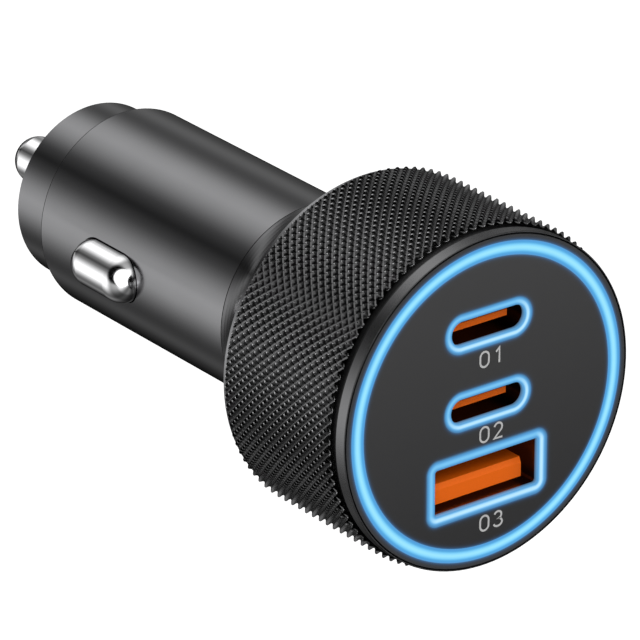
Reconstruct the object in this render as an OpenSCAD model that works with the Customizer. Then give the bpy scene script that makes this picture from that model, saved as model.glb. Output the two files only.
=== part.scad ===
// Car socket charger with a knurled head, two small ports and one wide port.
// The axis of the plug is Y: the face with the ports looks toward -Y, the centre pin toward +Y.
// Y = 0 is the head end of the straight barrel wall. All sizes are in millimetres.

/* [Barrel] */
// Outer diameter of the barrel that goes into the socket
barrel_d = 20.8; // [20.2:0.1:21.2]
// Length of the straight barrel wall
barrel_len = 30; // [28:0.5:34]
// Wall thickness of the barrel tube
tube_wall = 0.9; // [0.7:0.05:1.1]

/* [Nose] */
// Step from the barrel's wall in to the nose cap's wall
cap_step = 1.25; // [1.1:0.05:1.5]
// Length of the cylindrical part of the nose cap
cap_len = 5.7; // [5:0.1:8]
// Length of the tapered part of the nose cap
cone_len = 4.5; // [3.6:0.1:6]
// Width of the nose cap's flat end around the centre pin
nose_lip = 1.55; // [1.2:0.05:2]

/* [Centre pin] */
// Diameter of the centre pin
pin_d = 4.9; // [4.4:0.1:5.2]
// How far the centre pin stands out of the nose cap
pin_out = 7.5; // [6:0.1:9]
// How far the centre pin goes in when pressed
pin_travel = 3.2; // [2:0.1:3.6]
// Height of the domed end of the centre pin
dome_h = 2.1; // [1.4:0.1:2.1]
// Wire diameter of the pin spring
spring_wire = 0.5; // [0.4:0.05:0.6]
// Active turns of the pin spring
spring_turns = 5; // [4:1:6]

/* [Side contacts] */
// Width of a side contact across the barrel
contact_w = 4.9; // [4.6:0.1:5.2]
// Length of a side contact along the barrel
contact_len = 9.4; // [8.8:0.1:10]
// Height of a free side contact above the barrel
contact_rise = 2.35; // [2:0.05:2.4]
// How far a side contact goes in when the plug is pushed home
contact_travel = 2; // [1.6:0.1:2.1]

/* [Head] */
// Diameter over the points of the knurl
grip_d = 34.4; // [33.8:0.1:36]
// Length of the knurled grip
grip_len = 15.9; // [14:0.1:18]
// Length of the flare from the barrel to the grip
flare_len = 9.4; // [9:0.1:11]
// Number of knurl points around the grip
knurl_count = 98; // [80:1:100]
// Number of half rows of knurl points along the grip
knurl_rows = 26; // [22:1:27]
// Depth of the knurl grooves
knurl_depth = 0.45; // [0.3:0.05:0.5]
// Wall of the grip from its bore to the points of the knurl
grip_wall = 1.2; // [1.1:0.05:1.4]

/* [Face] */
// Step from the points of the knurl in to the bezel's wall
bezel_step = 0.55; // [0.5:0.05:0.7]
// Length of bezel that shows in front of the grip
bezel_len = 1.9; // [1.6:0.1:2.4]
// Length of the bezel's polished band, in front of the dark groove at the grip
bezel_band = 1.2; // [0.9:0.1:1.4]
// Width of the bezel around the lit ring
bezel_rim = 0.85; // [0.75:0.05:1.1]
// Width of the lit ring
ring_w = 1.4; // [1.2:0.05:1.5]
// Width of the lit frame around a small port
frame_w = 0.85; // [0.7:0.05:0.95]
// Width of the lit frame around the wide port
wide_frame_w = 1.05; // [0.9:0.05:1.15]
// Thickness of the face plate
plate_t = 1.0; // [0.8:0.05:1.2]

/* [Ports] */
// Opening width of a small port
small_w = 8.6; // [8.4:0.05:8.8]
// Opening height of a small port
small_h = 2.44; // [2.44:0.02:2.7]
// Opening width of the wide port
wide_w = 12.2; // [12.1:0.05:12.6]
// Opening height of the wide port
wide_h = 4.72; // [4.6:0.02:5]
// Least distance from the wide port's frame to the lit ring
wide_margin = 1.25; // [1:0.05:1.6]
// Least distance from the upper port's frame to the lit ring
upper_margin = 3.95; // [3.4:0.05:4.4]
// How far the lower small port sits below the middle of the space between its neighbours
lower_shift = 0.8; // [0.5:0.05:0.95]
// Depth from the face to the board that carries the ports
port_depth = 12.2; // [11.8:0.1:13]

/* [Hidden] */
$fn = 96;
eps = 0.01;

// clearances
fit_gap = 0.05;
run_gap = 0.08;
slot_gap = 0.1;

// barrel, neck and nose
barrel_r = barrel_d / 2;
bore_r = barrel_r - tube_wall;
neck_len = 7;
neck_bore_r = bore_r - 1;
cap_r = barrel_r - cap_step;
spigot_len = 4.5;
spigot_y = barrel_len - spigot_len;
chamber_r = bore_r - 1;
cap_end_y = barrel_len + cap_len;
nose_y = cap_end_y + cone_len;
nose_wall = 3;

// ground clip and side contacts
strip_t = 0.4;
strip_w = 3.6;
tab_out_z = chamber_r - 1.3;
tab_in_z = tab_out_z - 1.8;
clip_y = barrel_len + 1.5;
leg_x = chamber_r - 0.55;
leg_end_y = clip_y - 3.7;
ear_r = contact_w / 2;
ear_axis_x = barrel_r + contact_rise - ear_r;
ear_end_y = spigot_y - 2.35;
ear_mid_y = ear_end_y - contact_len / 2;
ear_half = contact_len / 2 - ear_r;
ear_wall = 0.5;
skirt_step = 0.02;
ear_rim_x = bore_r - 0.8;
foot_len = 0.9;
recess_x = leg_x - strip_t - contact_travel - 0.14;

// centre pin
pin_r = pin_d / 2;
collar_r = pin_r + 1.45;
collar_t = 1.2;
collar_y = nose_y - nose_wall;
spring_chamber_r = collar_r + 0.5;
seat_y = spigot_y + 1.9;
tail_r = pin_r - 0.25;
tail_len = collar_y - collar_t - seat_y - pin_travel - 2;
spring_r = tail_r + 0.35 + spring_wire;
terminal_bottom_y = spigot_y + 0.9;
terminal_w = 3;
terminal_t = 0.6;
terminal_tab_len = 2.6;

// head
head_len = flare_len + grip_len + bezel_len;
face_y = -head_len;
grip_r = grip_d / 2;
grip_bore_r = grip_r - grip_wall;
drum_r = grip_bore_r - 0.1;
lip_r = grip_r - 0.45;
flare_start_r = barrel_r + 0.05;
flare_start = 8;
flare_end_y = -flare_len + 0.4;
drum_bore_r = drum_r - 1;
ledge_r = drum_bore_r - 0.8;
grip_back_y = -flare_len;
grip_front_y = -flare_len - grip_len;

// face
bezel_r = grip_r - bezel_step;
ring_out_r = bezel_r - bezel_rim;
ring_in_r = ring_out_r - ring_w;
plate_back_y = face_y + plate_t;
rim_y = plate_back_y + 0.1;
disc_t = 1;
disc_back_y = plate_back_y + disc_t;
mouth_y = face_y + 0.5;
skirt_wall = 1;
corner_r = 0.3;
shell_wall = 0.3;

// heights of the ports: the outer two keep their margins to the lit ring
small_half = small_h / 2 + frame_w;
wide_half = wide_h / 2 + wide_frame_w;
wide_z = sqrt(pow(ring_in_r - wide_margin, 2) - pow(wide_w / 2 + wide_frame_w, 2)) - wide_half;
upper_z = sqrt(pow(ring_in_r - upper_margin - small_half, 2) - pow((small_w - small_h) / 2, 2));
lower_z = (upper_z - small_half - wide_z + wide_half) / 2 - lower_shift;

// tongues
wide_tongue_w = wide_w - 1.86;
wide_tongue_t = 1.95;
wide_tongue_gap = 0.48;
tongue_bottom = -wide_z - wide_h / 2 + wide_tongue_gap;
tongue_top = tongue_bottom + wide_tongue_t;
wide_tongue_y = face_y + 1.35;
wide_pad_start = 3.2;
wide_base_len = 3;
small_tongue_w = small_w - 2.1;
small_tongue_t = 0.64;
small_tongue_y = face_y + 1.4;
small_pad_start = 2.4;
small_base_len = 4.5;

// boards
board_t = 1.2;
port_board_y = face_y + port_depth;
port_board_back_y = port_board_y + board_t;
board_end_y = spigot_y - 0.3;
board_half = neck_bore_r - 0.2;
board_wide = ledge_r - 2.6;
carrier_y = spigot_y - 5.5;
led_t = 0.6;

// what the main board carries: the coil near the head, then two rows of chips and the fuse
header_h = 2.2;
coil_w = 7.6;
coil_h = 3.2;
coil_y = port_board_back_y + 5.4;
chip_len = 4.6;
fuse_len = 5.6;
row_start_y = coil_y + coil_w / 2 + 1;
row_end_y = carrier_y - 1;
row_gap = (row_end_y - row_start_y - 2 * chip_len - fuse_len) / 2;
first_row_y = row_start_y;
second_row_y = first_row_y + chip_len + row_gap;
fuse_y = row_end_y - fuse_len;
input_can_d = 5.4;
input_can_len = 9;
output_can_d = 6.3;
output_can_len = 6;
output_can_z = neck_bore_r - 4.3;

// shared shapes

// Turns a shape made along Z so that it lies along the plug's axis.
module along_axis() {
    rotate([-90, 0, 0]) children();
}

// A turned piece from points of [radius, y].
module turned(points) {
    along_axis() rotate_extrude() polygon(points);
}

// An upright outline, in X and Z, carried from y0 to y1.
module prism(y0, y1) {
    translate([0, y0, 0]) along_axis() linear_extrude(y1 - y0) children();
}

// A plain block from one corner to the opposite one.
module block(low, high) {
    translate(low) cube(high - low);
}

module stadium(w, h) {
    square([w - h, h], center = true);
    for (side = [-1, 1]) translate([side * (w - h) / 2, 0]) circle(d = h);
}

module round_rect(w, h, r) {
    square([w - 2 * r, h], center = true);
    square([w, h - 2 * r], center = true);
    for (x = [-1, 1], y = [-1, 1])
        translate([x * (w / 2 - r), y * (h / 2 - r)]) circle(r = r);
}

module small_outline(grow = 0) {
    stadium(small_w + 2 * grow, small_h + 2 * grow);
}

module wide_outline(grow = 0) {
    round_rect(wide_w + 2 * grow, wide_h + 2 * grow, corner_r + grow);
}

// All three port outlines at their places on the face.
module port_outlines(y0, y1, grow = 0, wide_grow = 0) {
    translate([0, 0, upper_z]) prism(y0, y1) small_outline(grow);
    translate([0, 0, lower_z]) prism(y0, y1) small_outline(grow);
    translate([0, 0, -wide_z]) prism(y0, y1) wide_outline(wide_grow);
}

// head

// The curve of the flare: it leaves the barrel with a slight kink and opens toward the grip.
// The cavity behind it follows the same curve, one wall further in.
flare_rise = lip_r - 0.15 - flare_start_r;
flare_end = 2 * atan2(flare_rise, -flare_end_y) - flare_start;
flare_r = -flare_end_y / (sin(flare_end) - sin(flare_start));
flare_mid_r = flare_start_r + flare_r * cos(flare_start);
flare_mid_y = flare_r * sin(flare_start);
flare_wall = flare_start_r - neck_bore_r;
cavity_start = acos((flare_mid_r - neck_bore_r) / (flare_r + flare_wall));
cavity_end = asin((flare_len - 0.2 + flare_mid_y) / (flare_r + flare_wall));
function flare_point(a, wall = 0) =
    [flare_mid_r - (flare_r + wall) * cos(a), flare_mid_y - (flare_r + wall) * sin(a)];

module head_shell() {
    steps = 20;
    color([0.27, 0.27, 0.28]) turned(concat(
        [[neck_bore_r, neck_len], [bore_r - 0.3, neck_len], [bore_r, neck_len - 0.3], [bore_r, 0]],
        [for (i = [0 : steps]) flare_point(flare_start + (flare_end - flare_start) * i / steps)],
        [[lip_r, flare_end_y], [lip_r, grip_back_y], [drum_r, grip_back_y],
         [drum_r, rim_y], [drum_bore_r, rim_y], [drum_bore_r, port_board_back_y],
         [ledge_r, port_board_back_y], [ledge_r, grip_back_y]],
        [for (i = [steps : -1 : 0])
            flare_point(cavity_start + (cavity_end - cavity_start) * i / steps, flare_wall)]
    ));
}

// Points of the knurl lie on a grid: each step is half a knurl pitch around and half a pitch along.
// Where the step numbers add up to an even number there is a point, elsewhere two grooves cross.
function knurl_ring(r, y) = [
    for (i = [0 : 2 * knurl_count - 1])
        let (a = 180 * i / knurl_count) [r * cos(a), y, r * sin(a)]
];
function knurl_row(j, y) = [
    for (i = [0 : 2 * knurl_count - 1])
        let (a = 180 * i / knurl_count, r = (i + j) % 2 == 0 ? grip_r : grip_r - knurl_depth)
        [r * cos(a), y, r * sin(a)]
];
function bore_ring(y) = [
    for (i = [0 : knurl_count - 1])
        let (a = 360 * i / knurl_count) [grip_bore_r * cos(a), y, grip_bore_r * sin(a)]
];
// The diagonal of every grid cell follows the bottom of a groove.
function cell_faces(a, b, c, d, even) = even ? [[a, d, b], [c, b, d]] : [[b, a, c], [d, c, a]];

module knurled_grip() {
    n = 2 * knurl_count;
    rim = 0.5;
    first_y = grip_back_y - rim;
    last_y = grip_front_y + rim + 0.1;
    step = (last_y - first_y) / knurl_rows;
    // rings from the back of the grip to its front
    rings = concat(
        [knurl_ring(lip_r, grip_back_y)],
        [for (j = [0 : knurl_rows]) knurl_row(j, first_y + j * step)],
        [knurl_ring(bezel_r + 0.12, grip_front_y)]
    );
    last = len(rings) - 1;
    points = concat([for (ring = rings) for (p = ring) p], bore_ring(grip_back_y), bore_ring(grip_front_y));
    back = n * (last + 1);
    front = back + knurl_count;
    outer = [for (j = [0 : last - 1]) for (i = [0 : n - 1])
        let (k = (i + 1) % n, a = j * n + i, b = j * n + k, c = (j + 1) * n + k, d = (j + 1) * n + i)
        each cell_faces(a, b, c, d, (i + j) % 2 == 0)];
    ends = [for (i = [0 : knurl_count - 1])
        let (k = (i + 1) % knurl_count, p = 2 * i, q = 2 * i + 1, s = (2 * i + 2) % n, f = n * last)
        each [[back + i, p, q], [back + i, q, back + k], [back + k, q, s],
              [front + i, f + q, f + p], [front + i, front + k, f + q], [front + k, f + s, f + q]]];
    bore = [for (i = [0 : knurl_count - 1])
        let (k = (i + 1) % knurl_count)
        each [[back + i, back + k, front + k], [back + i, front + k, front + i]]];
    color([0.10, 0.10, 0.11]) polyhedron(points, concat(outer, ends, bore));
}

// barrel and nose

module contact_slot() {
    translate([0, ear_mid_y, 0]) rotate([0, 90, 0]) rotate([0, 0, 90])
        translate([0, 0, -barrel_r - 1]) linear_extrude(2 * barrel_r + 2)
            stadium(contact_len + 2 * slot_gap, contact_w + 2 * slot_gap);
}

module barrel_tube() {
    edge = 0.12;
    groove_w = 0.1;
    color([0.30, 0.30, 0.31]) difference() {
        turned([[bore_r, 0], [barrel_r - edge, 0], [barrel_r - edge, groove_w], [barrel_r, groove_w],
                [barrel_r, barrel_len - 0.2], [barrel_r - edge / 3, barrel_len - 0.08],
                [barrel_r - edge, barrel_len], [bore_r, barrel_len]]);
        contact_slot();
    }
}

module nose_cap() {
    color([0.28, 0.28, 0.29]) turned([
        [pin_r + run_gap, nose_y], [pin_r + nose_lip, nose_y], [cap_r, cap_end_y], [cap_r, barrel_len],
        [bore_r, barrel_len], [bore_r, spigot_y], [chamber_r, spigot_y], [chamber_r, clip_y],
        [spring_chamber_r, clip_y], [spring_chamber_r, collar_y], [pin_r + run_gap, collar_y]
    ]);
}

// centre pin

module centre_pin() {
    tip_y = nose_y + pin_out;
    dome_r = (pin_r * pin_r + dome_h * dome_h) / (2 * dome_h);
    color([0.85, 0.85, 0.86]) along_axis() {
        translate([0, 0, collar_y - collar_t - tail_len]) cylinder(r = tail_r, h = tail_len + eps);
        translate([0, 0, collar_y - collar_t]) cylinder(r = collar_r, h = collar_t);
        intersection() {
            translate([0, 0, collar_y - eps]) cylinder(r = pin_r, h = tip_y - collar_y + 1);
            union() {
                translate([0, 0, collar_y - 1]) cylinder(r = pin_r + 1, h = tip_y - dome_r - collar_y + 1);
                translate([0, 0, tip_y - dome_r]) sphere(r = dome_r);
            }
        }
    }
}

// The spring's wire runs along y with closed end turns: t goes from 0 to 1.
end_turns = 1.25;
all_turns = spring_turns + 2 * end_turns;
wire_bottom_y = seat_y + spring_wire / 2;
wire_top_y = collar_y - collar_t - spring_wire / 2;
end_rise = end_turns * spring_wire * 1.04;
function wire_y(turn) =
    turn < end_turns ? wire_bottom_y + end_rise * turn / end_turns
    : turn > all_turns - end_turns ? wire_top_y - end_rise * (all_turns - turn) / end_turns
    : wire_bottom_y + end_rise
        + (wire_top_y - wire_bottom_y - 2 * end_rise) * (turn - end_turns) / spring_turns;

module pin_spring() {
    per_turn = 18;
    sides = 6;
    count = round(all_turns * per_turn);
    points = [for (k = [0 : count]) for (s = [0 : sides - 1])
        let (turn = all_turns * k / count, a = 360 * turn, b = 360 * s / sides + 30,
             r = spring_r + spring_wire / 2 * cos(b))
        [r * cos(a), wire_y(turn) + spring_wire / 2 * sin(b), r * sin(a)]];
    skin = [for (k = [0 : count - 1]) for (s = [0 : sides - 1])
        let (q = (s + 1) % sides, a = k * sides + s, b = k * sides + q, c = (k + 1) * sides + q,
             d = (k + 1) * sides + s)
        each [[a, c, b], [a, d, c]]];
    color([0.72, 0.72, 0.70]) polyhedron(points, concat(
        skin,
        [[for (s = [0 : sides - 1]) s]],
        [[for (s = [sides - 1 : -1 : 0]) count * sides + s]]
    ));
}

module pin_terminal() {
    color([0.80, 0.65, 0.32]) {
        along_axis() translate([0, 0, terminal_bottom_y])
            cylinder(r = spring_chamber_r - fit_gap, h = seat_y - terminal_bottom_y);
        block([board_t / 2, spigot_y - terminal_tab_len, -terminal_w / 2],
              [board_t / 2 + terminal_t, terminal_bottom_y + eps, terminal_w / 2]);
    }
}

// side contacts

module ground_clip() {
    color([0.80, 0.80, 0.81]) difference() {
        union() {
            block([-leg_x, clip_y - strip_t, -strip_w / 2], [leg_x, clip_y, strip_w / 2]);
            along_axis() translate([0, 0, clip_y - strip_t])
                cylinder(r = spring_chamber_r + 1.3, h = strip_t);
            for (side = [-1, 1]) translate([side * (leg_x - strip_t / 2), 0, 0])
                block([-strip_t / 2, leg_end_y + run_gap, -strip_w / 2],
                      [strip_t / 2, clip_y, strip_w / 2]);
            // tab down to the board
            block([-1, clip_y - strip_t, 0], [1, clip_y, tab_out_z]);
            block([board_t / 2, spigot_y - 2, tab_in_z], [board_t / 2 + strip_t, clip_y, tab_out_z]);
        }
        along_axis() translate([0, 0, clip_y - 1]) cylinder(r = spring_chamber_r, h = 2);
    }
}

// The pad of the left contact, shrunk by an inset: a capsule with an upright skirt below its middle.
module ear_body(inset, rim_x) {
    r = ear_r - inset;
    translate([-ear_axis_x, ear_mid_y, 0]) {
        translate([0, -ear_half, 0]) along_axis() cylinder(r = r, h = 2 * ear_half);
        for (side = [-1, 1]) translate([0, side * ear_half, 0]) along_axis() sphere(r = r);
        rotate([0, 90, 0]) rotate([0, 0, 90]) linear_extrude(ear_axis_x - rim_x)
            stadium(2 * (ear_half + r - skirt_step), 2 * (r - skirt_step));
    }
}

module side_contact_left() {
    head_y = ear_mid_y - contact_len / 2;
    color([0.88, 0.88, 0.89]) {
        difference() {
            ear_body(0, ear_rim_x);
            ear_body(ear_wall, ear_axis_x - ear_r - 0.5);
        }
        // foot under the tube's wall, and the leg to the ground clip
        block([-ear_rim_x - strip_t, head_y - foot_len, -strip_w / 2],
              [-ear_rim_x, head_y + ear_wall, strip_w / 2]);
        translate([0, 0, -strip_w / 2]) linear_extrude(strip_w) polygon([
            [-ear_rim_x, ear_end_y - ear_wall], [-ear_rim_x - strip_t, ear_end_y - ear_wall],
            [-ear_rim_x - strip_t, ear_end_y], [-leg_x, ear_end_y + 0.8],
            [-leg_x, leg_end_y], [-leg_x + strip_t, leg_end_y],
            [-leg_x + strip_t, ear_end_y + 0.65], [-ear_rim_x, ear_end_y - 0.1]
        ]);
    }
}

module side_contact_right() {
    mirror([1, 0, 0]) side_contact_left();
}

module board_carrier() {
    color([0.16, 0.16, 0.17]) difference() {
        turned([[0, carrier_y], [bore_r - fit_gap, carrier_y], [bore_r - fit_gap, spigot_y],
                [chamber_r - 0.1, spigot_y], [chamber_r - 0.1, clip_y - strip_t], [0, clip_y - strip_t]]);
        // spring chamber, and the way to the board for both terminals
        along_axis() translate([0, 0, terminal_bottom_y]) cylinder(r = spring_chamber_r, h = barrel_len);
        block([-board_t / 2 - fit_gap, carrier_y - 1, -board_half - fit_gap],
              [board_t / 2 + fit_gap, board_end_y, board_half + fit_gap]);
        block([0, carrier_y - 1, -terminal_w / 2 - fit_gap],
              [board_t / 2 + terminal_t + fit_gap, terminal_bottom_y + eps, terminal_w / 2 + fit_gap]);
        block([0, carrier_y - 1, tab_in_z - fit_gap],
              [board_t / 2 + strip_t + fit_gap, clip_y, tab_out_z + fit_gap]);
        // room for the side contacts to go in
        for (side = [0, 1]) mirror([side, 0, 0]) {
            block([recess_x, carrier_y - 1, -contact_w / 2 - 0.2],
                  [barrel_r, ear_end_y + 0.2, contact_w / 2 + 0.2]);
            block([recess_x, ear_end_y, -strip_w / 2 - 0.1],
                  [barrel_r, leg_end_y + run_gap, strip_w / 2 + 0.1]);
            block([leg_x - strip_t, leg_end_y, -strip_w / 2 - 0.1], [barrel_r, clip_y, strip_w / 2 + 0.1]);
        }
    }
}

// face

module bezel() {
    groove = 0.1;
    groove_r = bezel_r - 0.19;
    neck_r = bezel_r - 0.5;
    color([0.22, 0.22, 0.23]) turned([
        [ring_out_r, face_y], [groove_r - groove / 2, face_y], [groove_r, face_y + groove],
        [groove_r + groove / 2, face_y], [bezel_r - 0.06, face_y], [bezel_r, face_y + 0.06],
        [bezel_r, face_y + bezel_band], [neck_r, face_y + bezel_band], [neck_r, grip_front_y],
        [drum_r, grip_front_y], [drum_r, rim_y], [ring_out_r, rim_y]
    ]);
}

module face_plate() {
    color([0.20, 0.20, 0.20]) difference() {
        turned([[0, face_y], [ring_in_r, face_y], [ring_in_r, plate_back_y], [0, plate_back_y]]);
        port_outlines(face_y - 1, plate_back_y + 1, frame_w, wide_frame_w);
    }
}

module light_guide() {
    color([0.45, 0.78, 1.0]) difference() {
        union() {
            turned([[0, plate_back_y], [ring_in_r, plate_back_y], [ring_in_r, face_y],
                    [ring_out_r, face_y], [ring_out_r, rim_y], [drum_bore_r, rim_y],
                    [drum_bore_r, port_board_y - led_t - 0.2],
                    [drum_bore_r - skirt_wall, port_board_y - led_t - 0.2],
                    [drum_bore_r - skirt_wall, disc_back_y], [0, disc_back_y]]);
            port_outlines(face_y, plate_back_y + eps, frame_w, wide_frame_w);
        }
        port_outlines(face_y - 1, disc_back_y + 1);
        port_outlines(mouth_y, disc_back_y + 1, shell_wall + fit_gap, shell_wall + fit_gap);
    }
}

module led_chips() {
    r = drum_bore_r - skirt_wall / 2;
    color([0.95, 0.93, 0.80]) for (k = [0 : 7]) rotate([0, 22.5 + 45 * k, 0]) translate([r, 0, 0])
        block([-0.4, port_board_y - led_t, -0.8], [0.4, port_board_y, 0.8]);
}

// boards

module port_board() {
    color([0.07, 0.25, 0.14]) turned([[0, port_board_y], [drum_bore_r - fit_gap, port_board_y],
        [drum_bore_r - fit_gap, port_board_back_y], [0, port_board_back_y]]);
}

module main_board() {
    color([0.07, 0.25, 0.14]) {
        block([-board_t / 2, port_board_back_y, -board_wide], [board_t / 2, grip_back_y, board_wide]);
        block([-board_t / 2, grip_back_y - eps, -board_half], [board_t / 2, board_end_y, board_half]);
    }
}

module board_header() {
    pins = 5;
    pitch = 2.54;
    back_y = port_board_back_y + header_h;
    color([0.12, 0.12, 0.13]) block([board_t / 2, port_board_back_y, -pins * pitch / 2],
                                    [board_t / 2 + 2, back_y, pins * pitch / 2]);
    color([0.85, 0.70, 0.35]) for (k = [0 : pins - 1])
        translate([board_t / 2 + 1, 0, (k - (pins - 1) / 2) * pitch])
            block([-0.3, back_y - eps, -0.3], [0.3, back_y + 1, 0.3]);
}

// Shielded coil: a square base, a round body and two end plates.
module inductor() {
    base_h = 0.8;
    plate = 0.4;
    translate([-board_t / 2, coil_y, 0]) {
        color([0.24, 0.24, 0.26]) {
            block([-base_h, -coil_w / 2, -coil_w / 2], [0, coil_w / 2, coil_w / 2]);
            translate([eps - base_h, 0, 0]) rotate([0, -90, 0]) cylinder(d = coil_w - 0.4, h = coil_h);
        }
        color([0.80, 0.80, 0.78]) for (side = [-1, 1]) translate([0, 0, side * (coil_w + plate) / 2])
            block([-base_h - 0.1, -1.4, -plate / 2], [0, 1.4, plate / 2]);
    }
}

// A can capacitor lying along the axis: rubber end, crimp groove and case.
module can_capacitor(d, len) {
    r = d / 2;
    turned([[0, 0], [r - 0.4, 0], [r - 0.4, 0.5], [r, 0.7], [r, 1.5], [r - 0.3, 1.8], [r, 2.1],
            [r, len - 0.3], [r - 0.3, len], [0, len]]);
}

module input_capacitor() {
    color([0.16, 0.20, 0.32]) translate([(board_t + input_can_d) / 2, neck_len - 2, 0])
        can_capacitor(input_can_d, input_can_len);
}

module output_capacitor() {
    start_y = port_board_back_y + header_h + 1.2;
    color([0.16, 0.20, 0.32]) translate([(board_t + output_can_d) / 2, start_y, output_can_z])
        can_capacitor(output_can_d, output_can_len);
}

module controller_chips() {
    t = 0.9;
    apart = 3.1;
    color([0.09, 0.09, 0.10]) translate([-board_t / 2, 0, 0]) {
        block([-t, first_row_y, -chip_len / 2], [0, first_row_y + chip_len, chip_len / 2]);
        for (side = [-1, 1]) translate([0, second_row_y, side * apart])
            block([-t, 0, -chip_len / 2 + 0.3], [0, chip_len, chip_len / 2 - 0.3]);
    }
}

// Surface fuse: a ceramic body between two end caps.
module fuse() {
    cap = 1.2;
    translate([-board_t / 2, fuse_y, 0]) {
        color([0.75, 0.75, 0.70]) block([-1.7, cap - eps, -1.2], [0, fuse_len - cap + eps, 1.2]);
        color([0.80, 0.80, 0.78]) for (y = [0, fuse_len - cap]) block([-1.8, y, -1.3], [0, y + cap, 1.3]);
    }
}

// ports

module port_shell(z) {
    translate([0, 0, z]) difference() {
        prism(mouth_y, port_board_y) children(0);
        prism(mouth_y - 1, port_board_y + 1) children(1);
    }
}

module usb_a_shell() {
    color([0.62, 0.62, 0.63]) port_shell(-wide_z) {
        wide_outline(shell_wall);
        wide_outline();
    }
}

// Tongue of the wide port: it lies in the lower half, with a bevelled upper front edge.
module usb_a_tongue() {
    base_y = port_board_y - wide_base_len;
    bevel_h = 0.55;
    bevel_len = 0.25;
    color([0.85, 0.37, 0.08]) {
        translate([wide_tongue_w / 2, 0, 0]) rotate([0, -90, 0]) linear_extrude(wide_tongue_w) polygon([
            [tongue_bottom, wide_tongue_y], [tongue_top - bevel_h, wide_tongue_y],
            [tongue_top, wide_tongue_y + bevel_len], [tongue_top, base_y + eps], [tongue_bottom, base_y + eps]
        ]);
        translate([0, 0, -wide_z]) prism(base_y, port_board_y) wide_outline();
    }
}

module usb_a_contacts() {
    pitch = wide_tongue_w / 4.2;
    color([0.85, 0.70, 0.35]) for (k = [-1.5 : 1.5])
        block([k * pitch - 0.5, wide_tongue_y + wide_pad_start, tongue_top],
              [k * pitch + 0.5, port_board_y - wide_base_len, tongue_top + 0.12]);
}

module usb_c_shell(z) {
    color([0.62, 0.62, 0.63]) port_shell(z) {
        small_outline(shell_wall);
        small_outline();
    }
}

module usb_c_tongue(z) {
    base_y = port_board_y - small_base_len;
    color([0.85, 0.37, 0.08]) translate([0, 0, z]) {
        block([-small_tongue_w / 2, small_tongue_y, -small_tongue_t / 2],
              [small_tongue_w / 2, base_y + eps, small_tongue_t / 2]);
        prism(base_y, port_board_y) small_outline();
    }
}

module usb_c_contacts(z) {
    pads = 12;
    pitch = small_tongue_w / (pads + 0.4);
    pad_t = 0.06;
    color([0.85, 0.70, 0.35]) for (side = [-1, 1], k = [0 : pads - 1])
        translate([(k - (pads - 1) / 2) * pitch, 0, z + side * (small_tongue_t + pad_t) / 2])
            block([-0.12, small_tongue_y + small_pad_start, -pad_t / 2],
                  [0.12, port_board_y - small_base_len, pad_t / 2]);
}

module usb_c_upper_shell() { usb_c_shell(upper_z); }
module usb_c_upper_tongue() { usb_c_tongue(upper_z); }
module usb_c_upper_contacts() { usb_c_contacts(upper_z); }
module usb_c_lower_shell() { usb_c_shell(lower_z); }
module usb_c_lower_tongue() { usb_c_tongue(lower_z); }
module usb_c_lower_contacts() { usb_c_contacts(lower_z); }

head_shell();
knurled_grip();
barrel_tube();
nose_cap();
centre_pin();
pin_spring();
pin_terminal();
ground_clip();
side_contact_left();
side_contact_right();
board_carrier();
bezel();
face_plate();
light_guide();
led_chips();
port_board();
main_board();
board_header();
usb_a_shell();
usb_a_tongue();
usb_a_contacts();
usb_c_upper_shell();
usb_c_upper_tongue();
usb_c_upper_contacts();
usb_c_lower_shell();
usb_c_lower_tongue();
usb_c_lower_contacts();
inductor();
input_capacitor();
output_capacitor();
controller_chips();
fuse();
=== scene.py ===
# Car socket charger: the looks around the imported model, in metres
import math

import bpy
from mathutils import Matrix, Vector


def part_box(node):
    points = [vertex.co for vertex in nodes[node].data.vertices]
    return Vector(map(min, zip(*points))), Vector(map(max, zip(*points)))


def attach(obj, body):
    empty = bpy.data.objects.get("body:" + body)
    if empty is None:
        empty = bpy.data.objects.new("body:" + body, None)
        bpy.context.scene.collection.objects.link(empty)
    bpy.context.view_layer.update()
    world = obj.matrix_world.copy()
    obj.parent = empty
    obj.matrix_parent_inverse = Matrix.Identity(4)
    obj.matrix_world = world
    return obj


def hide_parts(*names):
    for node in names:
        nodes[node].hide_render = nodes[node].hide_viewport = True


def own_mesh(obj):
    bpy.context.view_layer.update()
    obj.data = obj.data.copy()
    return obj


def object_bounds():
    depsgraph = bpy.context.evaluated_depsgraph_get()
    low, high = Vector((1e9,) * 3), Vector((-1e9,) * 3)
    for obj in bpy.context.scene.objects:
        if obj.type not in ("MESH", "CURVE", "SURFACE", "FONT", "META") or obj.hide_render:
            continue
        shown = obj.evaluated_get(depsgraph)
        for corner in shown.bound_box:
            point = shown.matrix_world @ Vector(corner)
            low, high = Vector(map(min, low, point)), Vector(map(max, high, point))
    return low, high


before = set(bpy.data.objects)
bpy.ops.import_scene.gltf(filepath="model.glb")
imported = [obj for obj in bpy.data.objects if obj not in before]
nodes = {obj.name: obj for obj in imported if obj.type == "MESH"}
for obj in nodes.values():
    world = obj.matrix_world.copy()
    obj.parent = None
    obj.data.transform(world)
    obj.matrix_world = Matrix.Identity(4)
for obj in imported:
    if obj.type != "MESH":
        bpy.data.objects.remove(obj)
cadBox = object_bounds()
mm = 0.001
print("frame loaded:", len(nodes), "nodes")


# sizes taken from the frame

def lowOf(node):
    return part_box(node)[0]


def highOf(node):
    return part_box(node)[1]


faceY = lowOf("face_plate").y
ringInner = highOf("face_plate").x
ringOuter = highOf("light_guide").x
bezelRadius = highOf("bezel").x
gripFrontY = lowOf("knurled_grip").y
gripBackY = highOf("knurled_grip").y
gripRadius = highOf("knurled_grip").x
barrelEndY = highOf("barrel_tube").y

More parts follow.
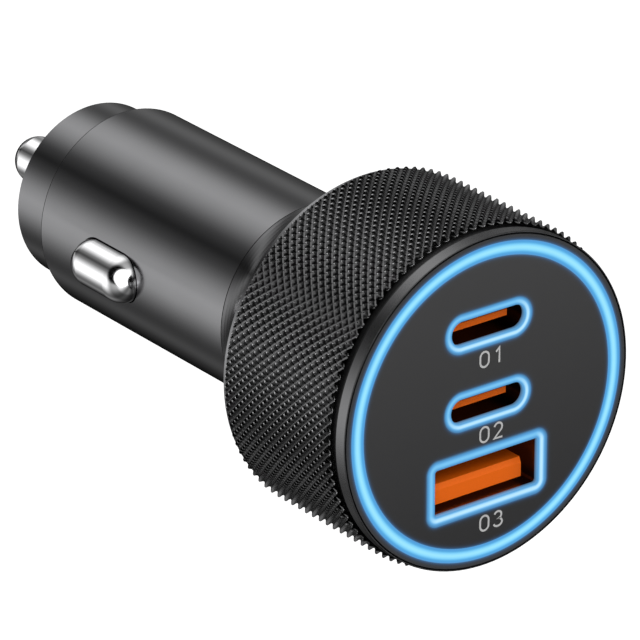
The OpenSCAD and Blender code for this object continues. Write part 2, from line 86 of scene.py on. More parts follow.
ports = {
    "shellWall": 0.3 * mm,     # thickness of a port's steel shell
    "wideCorner": 0.3 * mm,    # radius of the wide port's corners
    "smallFrame": 0.85 * mm,   # width of the lit frame round a small port
    "wideFrame": 1.05 * mm,    # and round the wide one
}


def portOf(shell):
    low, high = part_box(shell)
    return {
        "z": (low.z + high.z) / 2,
        "halfWide": (high.x - low.x) / 2 - ports["shellWall"],
        "halfHigh": (high.z - low.z) / 2 - ports["shellWall"],
    }


upperPort = portOf("usb_c_upper_shell")
lowerPort = portOf("usb_c_lower_shell")
widePort = portOf("usb_a_shell")


# node helpers

def grey(level):
    return (level, level, level)


def newFinish(name):
    finish = bpy.data.materials.new(name)
    finish.use_nodes = True
    tree = finish.node_tree
    return finish, tree, tree.nodes["Principled BSDF"]


def feed(tree, socket, value):
    if isinstance(value, bpy.types.NodeSocket):
        tree.links.new(value, socket)
    else:
        socket.default_value = value


def calc(tree, operation, *values):
    node = tree.nodes.new("ShaderNodeMath")
    node.operation = operation
    for socket, value in zip(node.inputs, values):
        feed(tree, socket, value)
    return node.outputs[0]


def keepInUnit(tree, value):
    return calc(tree, "MINIMUM", calc(tree, "MAXIMUM", value, 0), 1)


# each stop has a colour, or one number for a grey
def ramp(tree, factor, stops, smooth="LINEAR"):
    node = tree.nodes.new("ShaderNodeValToRGB")
    node.color_ramp.interpolation = smooth
    elements = node.color_ramp.elements
    while len(elements) < len(stops):
        elements.new(0.5)
    for element, (place, colour) in zip(elements, sorted(stops)):
        element.position = place
        element.color = (*(colour if isinstance(colour, tuple) else grey(colour)), 1)
    feed(tree, node.inputs["Fac"], factor)
    return node.outputs["Color"]


def mixColours(tree, factor, first, second, way="MIX"):
    node = tree.nodes.new("ShaderNodeMix")
    node.data_type = "RGBA"
    node.blend_type = way
    feed(tree, node.inputs[0], factor)
    for socket, value in ((node.inputs[6], first), (node.inputs[7], second)):
        feed(tree, socket, value if isinstance(value, bpy.types.NodeSocket) else (*value, 1))
    return node.outputs[2]


def mixShaders(tree, factor, first, second):
    node = tree.nodes.new("ShaderNodeMixShader")
    for socket, source in zip(node.inputs, (factor, first, second)):
        tree.links.new(source, socket)
    return node.outputs[0]


def objectPlace(tree):
    return tree.nodes.new("ShaderNodeTexCoord").outputs["Object"]


def partsOf(tree, place):
    node = tree.nodes.new("ShaderNodeSeparateXYZ")
    tree.links.new(place, node.inputs[0])
    return node.outputs[0], node.outputs[1], node.outputs[2]


def alongAxis(tree, direction, axis):
    node = tree.nodes.new("ShaderNodeVectorMath")
    node.operation = "DOT_PRODUCT"
    tree.links.new(direction, node.inputs[0])
    node.inputs[1].default_value = axis
    return node.outputs["Value"]


def noise(tree, place, scale, detail=2.0):
    node = tree.nodes.new("ShaderNodeTexNoise")
    node.inputs["Scale"].default_value = scale
    node.inputs["Detail"].default_value = detail
    tree.links.new(place, node.inputs["Vector"])
    return node.outputs["Fac"]


def bump(tree, shader, height, distance):
    node = tree.nodes.new("ShaderNodeBump")
    node.inputs["Distance"].default_value = distance
    node.inputs["Strength"].default_value = 1.0
    tree.links.new(height, node.inputs["Height"])
    tree.links.new(node.outputs[0], shader.inputs["Normal"])


# studio: white backdrop, long soft panels that the metal shows, and three lamps

studio = {
    "backdrop": 1.0,
    "softLight": 0.32,         # even light on matt surfaces
    "floorGrey": (0.8, 0.8, 0.8, 1),
    "floorRoughness": 0.9,
    "floorWhite": 0.80,        # what the camera sees on top of the lit floor
    "floorDrop": 0.40,         # the part is held in the air, this far over the floor
    "floorHalf": 4.0,
    "lamps": [                 # place, size, power
        ((-0.35, -0.45, 0.55), 0.5, 5.0),
        ((0.45, -0.30, 0.35), 0.4, 2.0),
    ],
    "chromeLamp": ((-0.55, -0.73, 0.41), 1.7, 9.0),   # lights the chrome parts alone
    "chromeParts": ("side_contact_left", "side_contact_right", "centre_pin"),
    # brightness of the panels round the plug's axis, in degrees from +X by way of overhead
    "panels": [
        (0, 0.12), (9, 0.22), (17, 0.32), (25, 0.32), (33, 0.23), (41, 0.20), (49, 0.31),
        (57, 0.56), (65, 0.91), (73, 1.22), (85, 1.43), (97, 1.12), (105, 0.81), (113, 0.46),
        (121, 0.20), (137, 0.045), (153, 0.22), (161, 0.46), (169, 0.78), (177, 1.10),
        (193, 1.48), (209, 1.20), (217, 0.86), (225, 0.55), (233, 0.31), (241, 0.17),
        (250, 0.12), (265, 0.20), (281, 0.055), (297, 0.01), (330, 0.01), (360, 0.12),
    ],
    # share of that brightness from ahead of the face (0) to behind the pin (1)
    "panelEnds": [(0.0, 0.9), (0.17, 0.9), (0.30, 0.32), (0.50, 0.28), (0.76, 1.0), (0.90, 1.0),
                  (0.97, 0.45), (1.0, 0.35)],
    "darkCard": (-0.776, -0.25, 0.578),    # direction of a black card above and to the left
    # how much light passes beside the card, by half of (cosine of the angle from it plus one)
    "besideCard": [(0.0, 1.0), (0.82, 1.0), (0.915, 0.0), (1.0, 0.0)],
}


def background(tree, strength):
    node = tree.nodes.new("ShaderNodeBackground")
    node.inputs["Color"].default_value = (1, 1, 1, 1)
    feed(tree, node.inputs["Strength"], strength)
    return node.outputs[0]


def seenDirectly(tree, path):
    return calc(tree, "MAXIMUM", path.outputs["Is Camera Ray"], path.outputs["Is Transmission Ray"])


def makeWorld():
    world = bpy.data.worlds.new("studio")
    bpy.context.scene.world = world
    world.use_nodes = True
    tree = world.node_tree
    tree.nodes.clear()
    direction = tree.nodes.new("ShaderNodeTexCoord").outputs["Generated"]
    x, y, z = partsOf(tree, direction)
    angle = calc(tree, "ARCTAN2", z, x)
    turn = calc(tree, "FRACT", calc(tree, "ADD", calc(tree, "DIVIDE", angle, 2 * math.pi), 1.0))
    brightest = max(level for _, level in studio["panels"])
    stops = [(degrees / 360, level / brightest) for degrees, level in studio["panels"]]
    around = calc(tree, "MULTIPLY", ramp(tree, turn, stops), brightest)
    ends = ramp(tree, calc(tree, "MULTIPLY_ADD", y, 0.5, 0.5), studio["panelEnds"], "EASE")
    toCard = alongAxis(tree, direction, studio["darkCard"])
    beside = ramp(tree, calc(tree, "MULTIPLY_ADD", toCard, 0.5, 0.5), studio["besideCard"], "EASE")
    panels = background(tree, calc(tree, "MULTIPLY", around, calc(tree, "MULTIPLY", ends, beside)))
    soft = background(tree, studio["softLight"])
    back = background(tree, studio["backdrop"])
    path = tree.nodes.new("ShaderNodeLightPath")
    onPart = mixShaders(tree, path.outputs["Is Glossy Ray"], soft, panels)
    out = tree.nodes.new("ShaderNodeOutputWorld")
    tree.links.new(mixShaders(tree, seenDirectly(tree, path), onPart, back), out.inputs["Surface"])


def makeLamp(name, place, size, power):
    light = bpy.data.lights.new(name, "AREA")
    light.shape = "DISK"
    light.size = size
    light.energy = power
    lamp = bpy.data.objects.new(name, light)
    bpy.context.scene.collection.objects.link(lamp)
    lamp.location = place
    lamp.rotation_euler = (-lamp.location).to_track_quat("-Z", "Y").to_euler()
    lamp.visible_camera = False
    return lamp


def makeLamps():
    for count, (place, size, power) in enumerate(studio["lamps"]):
        lamp = makeLamp(f"lamp{count}", place, size, power)
        lamp.visible_glossy = False   # the metal shows the panels, not these lamps
    chromeParts = bpy.data.collections.new("chromeParts")
    for node in studio["chromeParts"]:
        chromeParts.objects.link(nodes[node])
    lamp = makeLamp("chromeLamp", *studio["chromeLamp"])
    lamp.light_linking.receiver_collection = chromeParts


def makeFloor():
    finish, tree, shader = newFinish("paleFloor")
    shader.inputs["Base Color"].default_value = studio["floorGrey"]
    shader.inputs["Roughness"].default_value = studio["floorRoughness"]
    white = tree.nodes.new("ShaderNodeEmission")
    clear = tree.nodes.new("ShaderNodeBsdfTransparent")
    path = tree.nodes.new("ShaderNodeLightPath")
    under = tree.nodes.new("ShaderNodeNewGeometry").outputs["Backfacing"]
    glare = calc(tree, "MULTIPLY", seenDirectly(tree, path), studio["floorWhite"])
    tree.links.new(glare, white.inputs["Strength"])
    lit = tree.nodes.new("ShaderNodeAddShader")   # the shadow stays in the lit part
    tree.links.new(shader.outputs[0], lit.inputs[0])
    tree.links.new(white.outputs[0], lit.inputs[1])
    both = mixShaders(tree, under, lit.outputs[0], clear.outputs[0])   # clear from below
    tree.links.new(both, tree.nodes["Material Output"].inputs["Surface"])
    half = studio["floorHalf"]
    z = cadBox[0].z - studio["floorDrop"]
    corners = [(-half, -half, z), (half, -half, z), (half, half, z), (-half, half, z)]
    mesh = bpy.data.meshes.new("floor")
    mesh.from_pydata(corners, [], [(0, 1, 2, 3)])
    mesh.materials.append(finish)
    floor = bpy.data.objects.new("floor", mesh)
    bpy.context.scene.collection.objects.link(floor)
    floor.visible_glossy = False


view = {
    "place": (-0.297885, -0.393892, 0.221508),
    "turn": -37.2193,          # degrees round the part, where 0 looks along +Y
    "down": 24.2969,           # degrees that the camera looks down
    "lens": 319.17,
    "sensor": 36.0,
    "nearest": 0.01,
    "farthest": 50,
}


def makeCamera():
    data = bpy.data.cameras.new("camera")
    data.lens = view["lens"]
    data.sensor_width = view["sensor"]
    data.clip_start = view["nearest"]
    data.clip_end = view["farthest"]
    camera = bpy.data.objects.new("camera", data)
    bpy.context.scene.collection.objects.link(camera)
    camera.location = view["place"]
    camera.rotation_euler = (math.radians(90 - view["down"]), 0, math.radians(view["turn"]))
    bpy.context.scene.camera = camera


makeWorld()
makeLamps()
makeFloor()
makeCamera()
bpy.context.scene.view_settings.view_transform = "Standard"
print("studio ready")


# finishes

finishes = {}
metalGrain = {
    "fine": 26000,             # scales of the noise
    "broad": 220,
    "darker": 0.93,            # of the colour, in the darker clouds
    "spread": 0.06,            # how much the roughness varies
    "depth": 0.0006 * mm,
}


def satinMetal(name, colour, roughness):
    finish, tree, shader = newFinish(name)
    place = objectPlace(tree)
    fine = noise(tree, place, metalGrain["fine"], 3)
    broad = noise(tree, place, metalGrain["broad"], 2)
    darker = tuple(part * metalGrain["darker"] for part in colour)
    metal = mixColours(tree, broad, darker, colour)
    tree.links.new(metal, shader.inputs["Base Color"])
    shader.inputs["Metallic"].default_value = 1.0
    spread = metalGrain["spread"]
    rough = calc(tree, "MULTIPLY_ADD", fine, spread, roughness - spread / 2)
    tree.links.new(rough, shader.inputs["Roughness"])
    bump(tree, shader, fine, metalGrain["depth"])
    finishes[name] = finish
    return tree, shader, metal


chrome = {
    "colour": (0.93, 0.93, 0.94, 1),
    "grain": 9000,
    "roughness": (0.10, 0.04),   # least, and how much the grain adds
}


def polishedChrome():
    finish, tree, shader = newFinish("chrome")
    fine = noise(tree, objectPlace(tree), chrome["grain"], 2)
    least, more = chrome["roughness"]
    shader.inputs["Base Color"].default_value = chrome["colour"]
    shader.inputs["Metallic"].default_value = 1.0
    tree.links.new(calc(tree, "MULTIPLY_ADD", fine, more, least), shader.inputs["Roughness"])
    finishes["chrome"] = finish


# what lies in the ports and inside: colour, roughness, metallic
plainFinishes = {
    "greyPrint": ((0.50, 0.50, 0.50), 0.6, 0.0),
    "portSteel": ((0.05, 0.045, 0.04), 0.35, 1.0),
    "widePortSteel": ((0.24, 0.20, 0.19), 0.3, 1.0),
    "goldPads": ((0.86, 0.62, 0.26), 0.28, 1.0),
    "springSteel": ((0.62, 0.62, 0.60), 0.32, 1.0),
    "brass": ((0.78, 0.58, 0.26), 0.35, 1.0),
    "innerPlastic": ((0.03, 0.03, 0.03), 0.5, 0.0),
    "greenBoard": ((0.02, 0.13, 0.05), 0.4, 0.0),
    "ledChip": ((0.90, 0.86, 0.55), 0.3, 0.0),
    "coilCore": ((0.06, 0.06, 0.065), 0.55, 0.0),
    "canSleeve": ((0.05, 0.07, 0.14), 0.3, 0.0),
    "chipBlack": ((0.015, 0.015, 0.016), 0.45, 0.0),
    "fuseBody": ((0.6, 0.58, 0.5), 0.4, 0.0),
}
plainGrain = {
    "scale": 6000,
    "darker": 0.85,            # of the colour, in the darker grains
    "depth": 0.004 * mm,
}


def plainFinish(name, colour, roughness, metallic):
    finish, tree, shader = newFinish(name)
    fine = noise(tree, objectPlace(tree), plainGrain["scale"], 3)
    darker = tuple(part * plainGrain["darker"] for part in colour)
    tree.links.new(mixColours(tree, fine, darker, colour), shader.inputs["Base Color"])
    shader.inputs["Metallic"].default_value = metallic
    shader.inputs["Roughness"].default_value = roughness
    bump(tree, shader, fine, plainGrain["depth"])
    finishes[name] = finish
    return tree, shader


# light from the lit frames catches the tongues, most on the ends that look out of the ports
tongue = {
    "colour": (0.62, 0.10, 0.004),
    "roughness": 0.4,
    "gloss": 0.25,
    "lightColour": (0.60, 0.10, 0.0, 1),
    "light": 0.08,             # on every side
    "endLight": 0.28,          # added on the ends
}


def orangeTongue():
    tree, shader = plainFinish("orangeTongue", tongue["colour"], tongue["roughness"], 0.0)
    normal = tree.nodes.new("ShaderNodeNewGeometry").outputs["Normal"]
    facing = calc(tree, "MAXIMUM", alongAxis(tree, normal, (0, -1, 0)), 0)
    light = calc(tree, "MULTIPLY_ADD", facing, tongue["endLight"], tongue["light"])
    tree.links.new(light, shader.inputs["Emission Strength"])
    shader.inputs["Emission Color"].default_value = tongue["lightColour"]
    shader.inputs["Specular IOR Level"].default_value = tongue["gloss"]


# The port nearest to a place on the face: how far the place is from its opening, half the width of
# its frame, and which side of it: 0 above and to the left, 1 below and to the right.

def nearestPort(tree, x, z):
    isUpper = calc(tree, "GREATER_THAN", z, (upperPort["z"] + lowerPort["z"]) / 2)
    smallBottom = lowerPort["z"] - lowerPort["halfHigh"]
    wideTop = widePort["z"] + widePort["halfHigh"]
    isWide = calc(tree, "LESS_THAN", z, (smallBottom + wideTop) / 2)

    def pick(upper, lower, wide):
        small = calc(tree, "MULTIPLY_ADD", isUpper, upper - lower, lower)
        return calc(tree, "ADD", small, calc(tree, "MULTIPLY", isWide, wide - lower))

    smallCorner = upperPort["halfHigh"]
    wideCorner = ports["wideCorner"]
    corner = pick(smallCorner, smallCorner, wideCorner)
    fromMiddle = calc(tree, "SUBTRACT", z, pick(upperPort["z"], lowerPort["z"], widePort["z"]))
    straightX = pick(upperPort["halfWide"] - smallCorner, lowerPort["halfWide"] - smallCorner,
                     widePort["halfWide"] - wideCorner)
    straightZ = pick(0.0, 0.0, widePort["halfHigh"] - wideCorner)
    acrossX = calc(tree, "SUBTRACT", calc(tree, "ABSOLUTE", x), straightX)
    acrossZ = calc(tree, "SUBTRACT", calc(tree, "ABSOLUTE", fromMiddle), straightZ)
    outX = calc(tree, "MAXIMUM", acrossX, 0)
    outZ = calc(tree, "MAXIMUM", acrossZ, 0)
    outside = fromAxis(tree, outX, outZ)
    inside = calc(tree, "MINIMUM", calc(tree, "MAXIMUM", acrossX, acrossZ), 0)
    distance = calc(tree, "SUBTRACT", calc(tree, "ADD", outside, inside), corner)
    toRight = calc(tree, "MULTIPLY", outX, calc(tree, "SIGN", x))
    toTop = calc(tree, "MULTIPLY", outZ, calc(tree, "SIGN", fromMiddle))
    lean = calc(tree, "DIVIDE", calc(tree, "SUBTRACT", toRight, toTop),
                calc(tree, "MAXIMUM", outside, 1e-7))   # it may be 0
    side = calc(tree, "MULTIPLY_ADD", lean, 0.5, 0.5)
    side.node.use_clamp = True
    smallHalf, wideHalf = ports["smallFrame"] / 2, ports["wideFrame"] / 2
    return distance, pick(smallHalf, smallHalf, wideHalf), side


def fromAxis(tree, x, z):
    return calc(tree, "SQRT", calc(tree, "ADD", calc(tree, "MULTIPLY", x, x),
                                   calc(tree, "MULTIPLY", z, z)))


# the light guide's glow: colours from the middle of a band (0) to its edge (1)

glow = {
    "ring": [(0.0, (0.325, 0.77, 0.99)), (0.21, (0.28, 0.716, 0.97)), (0.36, (0.212, 0.63, 0.92)),
             (0.5, (0.14, 0.51, 0.83)), (0.64, (0.08, 0.37, 0.71)), (0.79, (0.067, 0.32, 0.68)),
             (0.93, (0.077, 0.30, 0.62)), (1.0, (0.074, 0.28, 0.58))],
    # above and to the left of a port
    "dimFrame": [(0.0, (0.19, 0.54, 0.85)), (0.2, (0.155, 0.48, 0.81)),
                 (0.44, (0.085, 0.33, 0.65)), (0.64, (0.065, 0.25, 0.51)),
                 (0.76, (0.048, 0.16, 0.33)), (0.9, (0.036, 0.07, 0.12)),
                 (1.0, (0.034, 0.05, 0.07))],
    # below it and to the right, brighter: a painted highlight where the inner wall meets the face
    "brightFrame": [(0.0, (0.52, 0.81, 1.0)), (0.2, (0.42, 0.74, 0.96)),
                    (0.44, (0.13, 0.42, 0.76)), (0.64, (0.08, 0.28, 0.56)),
                    (0.8, (0.06, 0.22, 0.46)), (1.0, (0.045, 0.15, 0.31))],
    "core": 0.8,               # a frame's brightest line, from the port (0) to the plate (2)
    "edge": 1.25,              # how far from that line its last colour lies, in half widths
    "ringReach": 1.2,          # the ring's colours reach this many half widths
    # the walls that lie in the plate, from the front to their full depth
    "wall": [(0.0, (0.11, 0.36, 0.66)), (0.35, (0.085, 0.27, 0.50)), (1.0, (0.05, 0.075, 0.12))],
    "wallDepth": 0.5 * mm,
    "wallStart": 0.02,         # share of that depth
    "level": 0.96,
    "clouds": 0.06,            # how much brighter it is in places
    "cloudScale": 900,
    "unlit": (0.02, 0.05, 0.08, 1),
    "roughness": 0.35,
    "spill": 0.11 * mm,        # how fast the light fades over the plate and the bezel
    "dimSpill": 0.12 * mm,     # less light beside the frames, above and to the left of a port
    "spillColour": (0.022, 0.125, 0.30, 1),
}


def litGuide():
    finish, tree, shader = newFinish("litGuide")
    place = objectPlace(tree)
    x, y, z = partsOf(tree, place)
    ringMiddle = (ringInner + ringOuter) / 2
    ringHalf = (ringOuter - ringInner) / 2
    fromRing = calc(tree, "ABSOLUTE", calc(tree, "SUBTRACT", fromAxis(tree, x, z), ringMiddle))
    ringColour = ramp(tree, calc(tree, "DIVIDE", fromRing, ringHalf), glow["ring"])
    distance, half, side = nearestPort(tree, x, z)
    core = calc(tree, "MULTIPLY", half, glow["core"])
    fromCore = calc(tree, "ABSOLUTE", calc(tree, "SUBTRACT", distance, core))
    across = calc(tree, "DIVIDE", fromCore, calc(tree, "MULTIPLY", half, glow["edge"]))
    # painted highlight: a frame is brighter below and to the right of its port
    frameColour = mixColours(tree, side, ramp(tree, across, glow["dimFrame"]),
                             ramp(tree, across, glow["brightFrame"]))
    onRing = calc(tree, "LESS_THAN", fromRing, ringHalf * glow["ringReach"])
    colour = mixColours(tree, onRing, frameColour, ringColour)
    depth = calc(tree, "DIVIDE", calc(tree, "SUBTRACT", y, faceY), glow["wallDepth"])
    deep = calc(tree, "GREATER_THAN", depth, glow["wallStart"])
    colour = mixColours(tree, deep, colour, ramp(tree, depth, glow["wall"]))
    tree.links.new(colour, shader.inputs["Emission Color"])
    clouds = noise(tree, place, glow["cloudScale"], 2)
    level = calc(tree, "MULTIPLY_ADD", clouds, glow["clouds"], glow["level"])
    tree.links.new(level, shader.inputs["Emission Strength"])
    shader.inputs["Base Color"].default_value = glow["unlit"]
    shader.inputs["Roughness"].default_value = glow["roughness"]
    finishes["litGuide"] = finish


def spillFrom(tree, distance):
    return calc(tree, "EXPONENT", calc(tree, "DIVIDE", distance, -glow["spill"]))


facePlate = {
    # painted light: lighter at the top, darker at the bottom
    "top": (0.052, 0.052, 0.053),
    "bottom": (0.028, 0.028, 0.029),
    "speck": (0.08, 0.08, 0.08),
    "specks": 0.10,            # how strong they are
    "grain": 14000,
    "grainDepth": 0.0015 * mm,
    "roughness": 0.5,
    "gloss": 0.3,
}


def mattFace():
    finish, tree, shader = newFinish("mattFace")
    place = objectPlace(tree)
    x, _, z = partsOf(tree, place)
    fine = noise(tree, place, facePlate["grain"], 3)
    height = calc(tree, "DIVIDE", calc(tree, "ADD", z, ringInner), 2 * ringInner)
    # painted light: the plate grows lighter towards the top
    paintedTopLight = mixColours(tree, height, facePlate["bottom"], facePlate["top"])
    specks = calc(tree, "MULTIPLY", fine, facePlate["specks"])
    tree.links.new(mixColours(tree, specks, paintedTopLight, facePlate["speck"]), shader.inputs["Base Color"])
    shader.inputs["Roughness"].default_value = facePlate["roughness"]
    shader.inputs["Specular IOR Level"].default_value = facePlate["gloss"]
    bump(tree, shader, fine, facePlate["grainDepth"])
    fromRing = calc(tree, "SUBTRACT", ringInner, fromAxis(tree, x, z))
    distance, half, side = nearestPort(tree, x, z)
    fromFrame = calc(tree, "SUBTRACT", distance, calc(tree, "MULTIPLY", half, 2))
    fromFrame = calc(tree, "MAXIMUM", fromFrame, 0)
    farther = calc(tree, "MULTIPLY_ADD", side, -glow["dimSpill"], glow["dimSpill"])
    near = calc(tree, "MINIMUM", fromRing, calc(tree, "ADD", fromFrame, farther))
    spill = spillFrom(tree, calc(tree, "MAXIMUM", near, 0))
    shader.inputs["Emission Color"].default_value = glow["spillColour"]
    tree.links.new(spill, shader.inputs["Emission Strength"])
    finishes["mattFace"] = finish


bezel = {
    "metal": (0.165, 0.165, 0.168),
    "roughness": 0.28,
    "gloss": 0.3,              # of its painted places
    "front": (0.046, 0.046, 0.047),
    "frontDepth": 0.03 * mm,
    "groove": (0.28 * mm, 0.12 * mm),   # from and to, in from the bezel's radius
    # painted shade: the groove is painted near black
    "grooveShade": 0.003,
    "neckIn": 0.3 * mm,        # the neck behind it begins this far in from the bezel's radius
    "neckShades": (0.02, 0.085),       # painted shade in the gap behind the bezel: below, and lighter at the top
    "neckFade": (0.75, 0.95),  # where it changes, as a share of the bezel's radius above the axis
}


def litBezel():
    tree, shader, metal = satinMetal("bezelMetal", bezel["metal"], bezel["roughness"])
    x, y, z = partsOf(tree, objectPlace(tree))
    r = fromAxis(tree, x, z)
    front = calc(tree, "LESS_THAN", y, faceY + bezel["frontDepth"])
    spill = spillFrom(tree, calc(tree, "MAXIMUM", calc(tree, "SUBTRACT", r, ringOuter), 0))
    shader.inputs["Emission Color"].default_value = glow["spillColour"]
    tree.links.new(calc(tree, "MULTIPLY", spill, front), shader.inputs["Emission Strength"])
    grooveFrom, grooveTo = (bezelRadius - inward for inward in bezel["groove"])
    inGroove = calc(tree, "MULTIPLY", calc(tree, "GREATER_THAN", r, grooveFrom),
                    calc(tree, "LESS_THAN", r, grooveTo))
    # the neck is painted dark as shade in the gap, lighter towards the top
    onNeck = calc(tree, "LESS_THAN", r, bezelRadius - bezel["neckIn"])
    low, high = bezel["neckFade"]
    up = calc(tree, "MULTIPLY_ADD", z, 1 / ((high - low) * bezelRadius), -low / (high - low))
    neck = mixColours(tree, keepInUnit(tree, up), *(grey(level) for level in bezel["neckShades"]))
    paint = mixColours(tree, front, neck, bezel["front"])
    # the groove is painted near black as shade
    paint = mixColours(tree, inGroove, paint, grey(bezel["grooveShade"]))
    painted = calc(tree, "MAXIMUM", calc(tree, "MAXIMUM", inGroove, onNeck), front)
    tree.links.new(mixColours(tree, painted, metal, paint), shader.inputs["Base Color"])
    tree.links.new(calc(tree, "SUBTRACT", 1.0, painted), shader.inputs["Metallic"])
    shader.inputs["Specular IOR Level"].default_value = bezel["gloss"]


grip = {
    "metal": (0.42, 0.42, 0.425),   # of the points; the painted shade below darkens the flanks
    "roughness": 0.18,
    "count": 101,              # points round the grip
    "pitch": 1.066 * mm,       # from point to point along the grip
    "perPoint": 8,             # mesh columns and rows for each point
    "depth": 0.42 * mm,
    "point": (1.0, 0.95, 0.60, 0.15, 0.0),   # height from the middle of a point to that of a groove
    # painted shade and light: brightness from the points (0) to the bottom of the grooves (1), dark
    # on the flanks and lighter at the bottom of the grooves
    "shade": [(0.0, 1.0), (0.06, 0.95), (0.3, 0.50), (0.8, 0.32), (0.93, 0.68), (1.0, 0.95)],
    "frontEdge": 0.45 * mm,    # edges taken off at the ends
    "backEdge": 0.35 * mm,
    "endShade": 0.004,        # painted shade on the front end, where the sleeve was turned off at 45 degrees
    "endMargin": 0.012 * mm,
    "boreIn": 0.7 * mm,        # the bore is this much smaller than the bezel's radius
}


def knurlMetal():
    tree, shader, metal = satinMetal("gripMetal", grip["metal"], grip["roughness"])
    x, y, z = partsOf(tree, objectPlace(tree))
    r = fromAxis(tree, x, z)
    depth = calc(tree, "DIVIDE", calc(tree, "SUBTRACT", gripRadius, r), grip["depth"])
    # painted shade and light on the knurl by depth: dark flanks, light points and groove bottoms
    paintedShade = mixColours(tree, 1.0, metal, ramp(tree, depth, grip["shade"]), "MULTIPLY")
    # the front end is painted near black as shade
    ahead = calc(tree, "SUBTRACT", calc(tree, "SUBTRACT", r, gripRadius - grip["frontEdge"]),
                 calc(tree, "SUBTRACT", y, gripFrontY))
    onEnd = calc(tree, "GREATER_THAN", ahead, -grip["endMargin"])
    colour = mixColours(tree, onEnd, paintedShade, grey(grip["endShade"]))
    tree.links.new(colour, shader.inputs["Base Color"])


# the barrel's metal, with fine lines of painted shade round it at the joints, at the root of the
# tube and at its nose end

barrel = {
    "metal": (0.20, 0.20, 0.205),
    "roughness": 0.16,
    "rootLine": 0.07 * mm,     # half the width of the line at the root
    "noseLine": 0.12 * mm,     # and of the one at the nose end
    "noseLineIn": 0.07 * mm,   # from the end of the tube to the middle of that line
    "lineShade": 0.012,
}


def linedMetal():
    tree, shader, metal = satinMetal("barrelMetal", barrel["metal"], barrel["roughness"])
    y = partsOf(tree, objectPlace(tree))[1]
    atRoot = calc(tree, "LESS_THAN", calc(tree, "ABSOLUTE", y), barrel["rootLine"])
    fromNose = calc(tree, "SUBTRACT", y, barrelEndY - barrel["noseLineIn"])
    atNose = calc(tree, "LESS_THAN", calc(tree, "ABSOLUTE", fromNose), barrel["noseLine"])
    lines = calc(tree, "MAXIMUM", atRoot, atNose)
    colour = mixColours(tree, lines, metal, grey(barrel["lineShade"]))
    tree.links.new(colour, shader.inputs["Base Color"])
    tree.links.new(calc(tree, "SUBTRACT", 1.0, lines), shader.inputs["Metallic"])
    shader.inputs["Specular IOR Level"].default_value = 0.0   # the lines stay black from the side


for makeFinish in (linedMetal, knurlMetal, litBezel, polishedChrome, litGuide, mattFace,
                   orangeTongue):
    makeFinish()
for name, (colour, roughness, metallic) in plainFinishes.items():
    plainFinish(name, colour, roughness, metallic)
print("finishes:", len(finishes))

finishOf = {
    "head_shell": "barrelMetal", "barrel_tube": "barrelMetal", "nose_cap": "barrelMetal",
    "knurled_grip": "gripMetal", "bezel": "bezelMetal", "face_plate": "mattFace",
    "light_guide": "litGuide", "centre_pin": "chrome", "side_contact_left": "chrome",
    "side_contact_right": "chrome", "pin_spring": "springSteel", "ground_clip": "springSteel",
    "pin_terminal": "brass", "board_carrier": "innerPlastic", "board_header": "innerPlastic",
    "led_chips": "ledChip", "port_board": "greenBoard", "main_board": "greenBoard",
    "usb_a_shell": "widePortSteel", "usb_c_upper_shell": "portSteel",
    "usb_c_lower_shell": "portSteel", "usb_a_tongue": "orangeTongue",
    "usb_c_upper_tongue": "orangeTongue", "usb_c_lower_tongue": "orangeTongue",
    "usb_a_contacts": "goldPads", "usb_c_upper_contacts": "goldPads",
    "usb_c_lower_contacts": "goldPads", "inductor": "coilCore",
    "input_capacitor": "canSleeve", "output_capacitor": "canSleeve",
    "controller_chips": "chipBlack", "fuse": "fuseBody",
}

for node, name in finishOf.items():
    mesh = nodes[node].data
    mesh.materials.clear()
    mesh.materials.append(finishes[name])
print("finishes on", len(finishOf), "nodes")


# knurled grip: raised points between two families of flat grooves at 45 degrees

def stepsAway(step):
    return min(step % grip["perPoint"], -step % grip["perPoint"])


def makeGrip():
    columns = grip["count"] * grip["perPoint"]
    length = gripBackY - gripFrontY
    rows = round(length / grip["pitch"] * grip["perPoint"])
    bore = bezelRadius - grip["boreIn"]
    around = [(math.cos(a), math.sin(a)) for a in
              (2 * math.pi * i / columns for i in range(columns))]
    points = []
    for j in range(rows + 1):
        y = gripFrontY + length * j / rows
        edge = max(0.0, grip["frontEdge"] - (y - gripFrontY), grip["backEdge"] - (gripBackY - y))
        for i, (across, up) in enumerate(around):
            height = grip["point"][max(stepsAway(i + j), stepsAway(i - j))]
            r = min(gripRadius - grip["depth"] * (1 - height), gripRadius - edge)
            points.append((r * across, y, r * up))
    faces = []
    for j in range(rows):
        for i in range(columns):
            k = (i + 1) % columns
            a, b = j * columns + i, (j + 1) * columns + i
            c, d = (j + 1) * columns + k, j * columns + k
            if stepsAway(i + j + 1) >= stepsAway(i - j):   # split along the nearer groove
                faces += [(a, b, d), (b, c, d)]
            else:
                faces += [(a, b, c), (a, c, d)]
    # end rings down to the bore
    for y, row, flip in ((gripFrontY, 0, True), (gripBackY, rows, False)):
        start = len(points)
        points += [(bore * across, y, bore * up) for across, up in around]
        for i in range(columns):
            k = (i + 1) % columns
            face = (row * columns + i, row * columns + k, start + k, start + i)
            faces.append(face if flip else tuple(reversed(face)))
    piece = addPiece("knurl", points, faces, "gripMetal")
    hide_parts("knurled_grip")
    print("knurl:", len(faces) + 2 * columns, "triangles")


def addPiece(name, points, faces, finish):
    mesh = bpy.data.meshes.new(name)
    mesh.from_pydata(points, [], faces)
    mesh.materials.append(finishes[finish])
    piece = bpy.data.objects.new(name, mesh)
    bpy.context.scene.collection.objects.link(piece)
    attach(piece, "plug")
    return piece


# the spring under the pin, copied into a piece of its own


def makeSpring():
    mesh = nodes["pin_spring"].data
    points = [tuple(vertex.co) for vertex in mesh.vertices]
    faces = [tuple(face.vertices) for face in mesh.polygons]
    piece = addPiece("springCoil", points, faces, "springSteel")
    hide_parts("pin_spring")
    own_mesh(piece)
    print("spring:", len(faces), "faces")


# printed numbers under the ports, in strokes

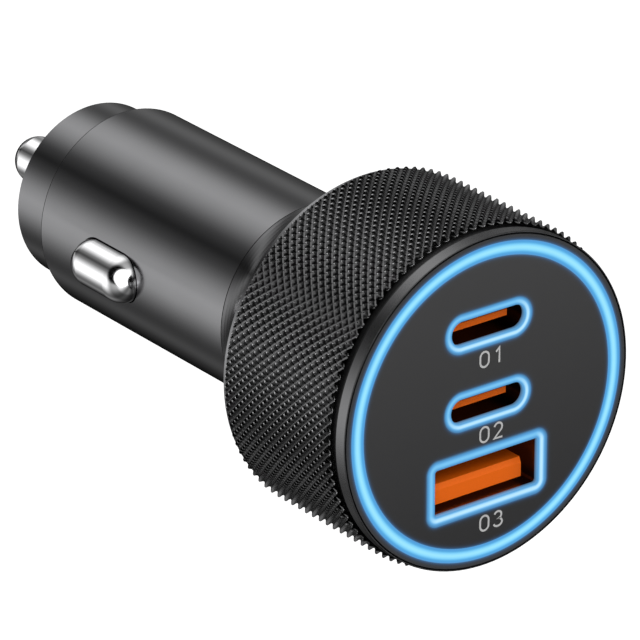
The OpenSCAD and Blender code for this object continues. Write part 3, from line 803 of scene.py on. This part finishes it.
numbers = {
    "marks": [                 # digits, middle across, middle up
        ("01", 0.375 * mm, 4.50 * mm),
        ("02", 0.475 * mm, -3.15 * mm),
        ("03", 0.6 * mm, -12.28 * mm),
    ],
    "high": 1.52 * mm,         # between the middles of the strokes
    "wide": 1.0 * mm,
    "step": 1.62 * mm,         # from digit to digit
    "stroke": 0.20 * mm,
    "proud": 0.012 * mm,
    "sunk": 0.05 * mm,
    "longestCorner": 2.0,      # how far a corner's point may reach, in half strokes
}


def arc(x, z, rx, rz, start, end, steps=14):
    turns = [math.radians(start + (end - start) * k / steps) for k in range(steps + 1)]
    return [(x + rx * math.cos(a), z + rz * math.sin(a)) for a in turns]


# each digit in a box from 0 to 1 across and up
digitPaths = {
    "0": [arc(0.5, 0.67, 0.5, 0.33, 0, 180) + arc(0.5, 0.33, 0.5, 0.33, 180, 360) + [(1.0, 0.67)]],
    "1": [[(0.22, 0.76), (0.62, 1.0), (0.62, 0.0)]],
    "2": [arc(0.5, 0.70, 0.46, 0.30, 165, -35) + [(0.04, 0.0), (1.0, 0.0)]],
    "3": [arc(0.48, 0.75, 0.42, 0.25, 160, -90) + arc(0.48, 0.26, 0.50, 0.26, 80, -165)],
}


def ribbon(path, half, points, faces):
    start = len(points)
    for k, (x, z) in enumerate(path):
        before = path[max(k - 1, 0)]
        after = path[min(k + 1, len(path) - 1)]
        legs = []
        for (ax, az), (bx, bz) in ((before, (x, z)), ((x, z), after)):
            run = math.hypot(bx - ax, bz - az)
            if run > 1e-9:     # the two ends of a path have one leg
                legs.append(((bx - ax) / run, (bz - az) / run))
        first, last = legs[0], legs[-1]
        dx, dz = first[0] + last[0], first[1] + last[1]
        size = math.hypot(dx, dz)
        dx, dz = dx / size, dz / size
        reach = half / max(1 / numbers["longestCorner"], dx * first[0] + dz * first[1])
        for side in (-1, 1):
            for y in (faceY - numbers["proud"], faceY + numbers["sunk"]):
                points.append((x - side * dz * reach, y, z + side * dx * reach))
    for k in range(len(path) - 1):
        a, b = start + 4 * k, start + 4 * k + 4
        faces += [(a, a + 2, b + 2, b), (a + 1, b + 1, b + 3, a + 3),
                  (a, b, b + 1, a + 1), (a + 2, a + 3, b + 3, b + 2)]
    end = start + 4 * (len(path) - 1)
    faces += [(start, start + 1, start + 3, start + 2), (end, end + 2, end + 3, end + 1)]


def makeNumbers():
    points, faces = [], []
    for mark, x, z in numbers["marks"]:
        for k, digit in enumerate(mark):
            left = x + (k - 0.5) * numbers["step"] - numbers["wide"] / 2
            low = z - numbers["high"] / 2
            for path in digitPaths[digit]:
                onFace = [(left + u * numbers["wide"], low + v * numbers["high"]) for u, v in path]
                ribbon(onFace, numbers["stroke"] / 2, points, faces)
    addPiece("portNumbers", points, faces, "greyPrint")
    print("numbers:", len(faces), "faces")


makeSpring()
makeGrip()
makeNumbers()
